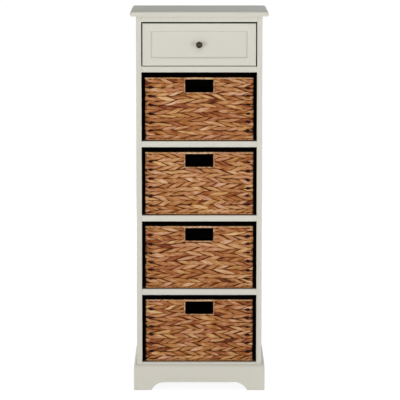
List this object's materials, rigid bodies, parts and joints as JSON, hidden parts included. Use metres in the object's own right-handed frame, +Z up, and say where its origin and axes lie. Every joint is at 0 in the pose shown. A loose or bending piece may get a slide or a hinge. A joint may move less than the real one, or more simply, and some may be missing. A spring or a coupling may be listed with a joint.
{
  "type": "drawer and basket storage cabinet",
  "caption": "Tall narrow painted storage cabinet with a panelled drawer above open bays that hold plaited pull-out baskets, on a plinth with arched cut-outs.",
  "frame": {"origin": "on the floor, at the middle of the closed cabinet's overall width and of its overall depth, knob included", "axes": "+X towards the cabinet's right as seen from the front, +Y from the front to the back, +Z up"},
  "size_m": [0.42, 0.334, 1.17],
  "materials": {
    "cream_paint": "satin cream paint on wood, with faint brush and grain lines",
    "bare_wood": "planed and left bare",
    "plywood": "sanded plywood, left bare",
    "zinc_plate": "zinc plated steel",
    "steel_wire": "drawn steel wire, darkened",
    "antique_bronze": "dark antique bronze, softly polished",
    "water_hyacinth": "dry plaited plant stems, matt to slightly silky, in mixed browns",
    "twine": "twisted plant twine, wound close, matt"
  },
  "bodies": {
    "root": {"top_board": "cream_paint", "side_panel_left": "cream_paint", "side_panel_right": "cream_paint", "back_panel": "cream_paint", "frieze_rail": "cream_paint", "back_rail": "bare_wood", "drawer_shelf": "cream_paint", "shelf_upper": "cream_paint", "shelf_middle": "cream_paint", "shelf_lower": "cream_paint", "bottom_board": "cream_paint", "plinth_front": "cream_paint", "plinth_side_left": "cream_paint", "plinth_side_right": "cream_paint", "plinth_back": "cream_paint", "corner_blocks": "bare_wood", "top_cleat_left": "bare_wood", "top_cleat_right": "bare_wood", "drawer_runner_left": "bare_wood", "drawer_runner_right": "bare_wood", "drawer_stops": "bare_wood", "carcass_dowels": "bare_wood", "top_screws": "zinc_plate", "runner_screws": "zinc_plate", "block_screws": "zinc_plate", "back_panel_pins": "zinc_plate"},
    "drawer": {"drawer_stile_left": "cream_paint", "drawer_stile_right": "cream_paint", "drawer_rail_top": "cream_paint", "drawer_rail_bottom": "cream_paint", "drawer_panel": "cream_paint", "drawer_side_left": "bare_wood", "drawer_side_right": "bare_wood", "drawer_back": "bare_wood", "drawer_bottom": "plywood", "drawer_dowels": "bare_wood", "drawer_knob": "antique_bronze", "knob_screw": "zinc_plate"},
    "basket_1": {"basket_1_weave": "water_hyacinth", "basket_1_binding": "twine", "basket_1_hole_binding": "twine", "basket_1_mat": "water_hyacinth", "basket_1_wire_frame": "steel_wire"},
    "basket_2": {"basket_2_weave": "water_hyacinth", "basket_2_binding": "twine", "basket_2_hole_binding": "twine", "basket_2_mat": "water_hyacinth", "basket_2_wire_frame": "steel_wire"},
    "basket_3": {"basket_3_weave": "water_hyacinth", "basket_3_binding": "twine", "basket_3_hole_binding": "twine", "basket_3_mat": "water_hyacinth", "basket_3_wire_frame": "steel_wire"},
    "basket_4": {"basket_4_weave": "water_hyacinth", "basket_4_binding": "twine", "basket_4_hole_binding": "twine", "basket_4_mat": "water_hyacinth", "basket_4_wire_frame": "steel_wire"}
  },
  "joints": [
    {"name": "drawer_slide", "type": "slide", "parent": "root", "child": "drawer", "axis": [0, -1, 0], "range_m": [0, 0.22]},
    {"name": "basket_1_slide", "type": "slide", "parent": "root", "child": "basket_1", "axis": [0, -1, 0], "range_m": [0, 0.3]},
    {"name": "basket_2_slide", "type": "slide", "parent": "root", "child": "basket_2", "axis": [0, -1, 0], "range_m": [0, 0.3]},
    {"name": "basket_3_slide", "type": "slide", "parent": "root", "child": "basket_3", "axis": [0, -1, 0], "range_m": [0, 0.3]},
    {"name": "basket_4_slide", "type": "slide", "parent": "root", "child": "basket_4", "axis": [0, -1, 0], "range_m": [0, 0.3]}
  ]
}
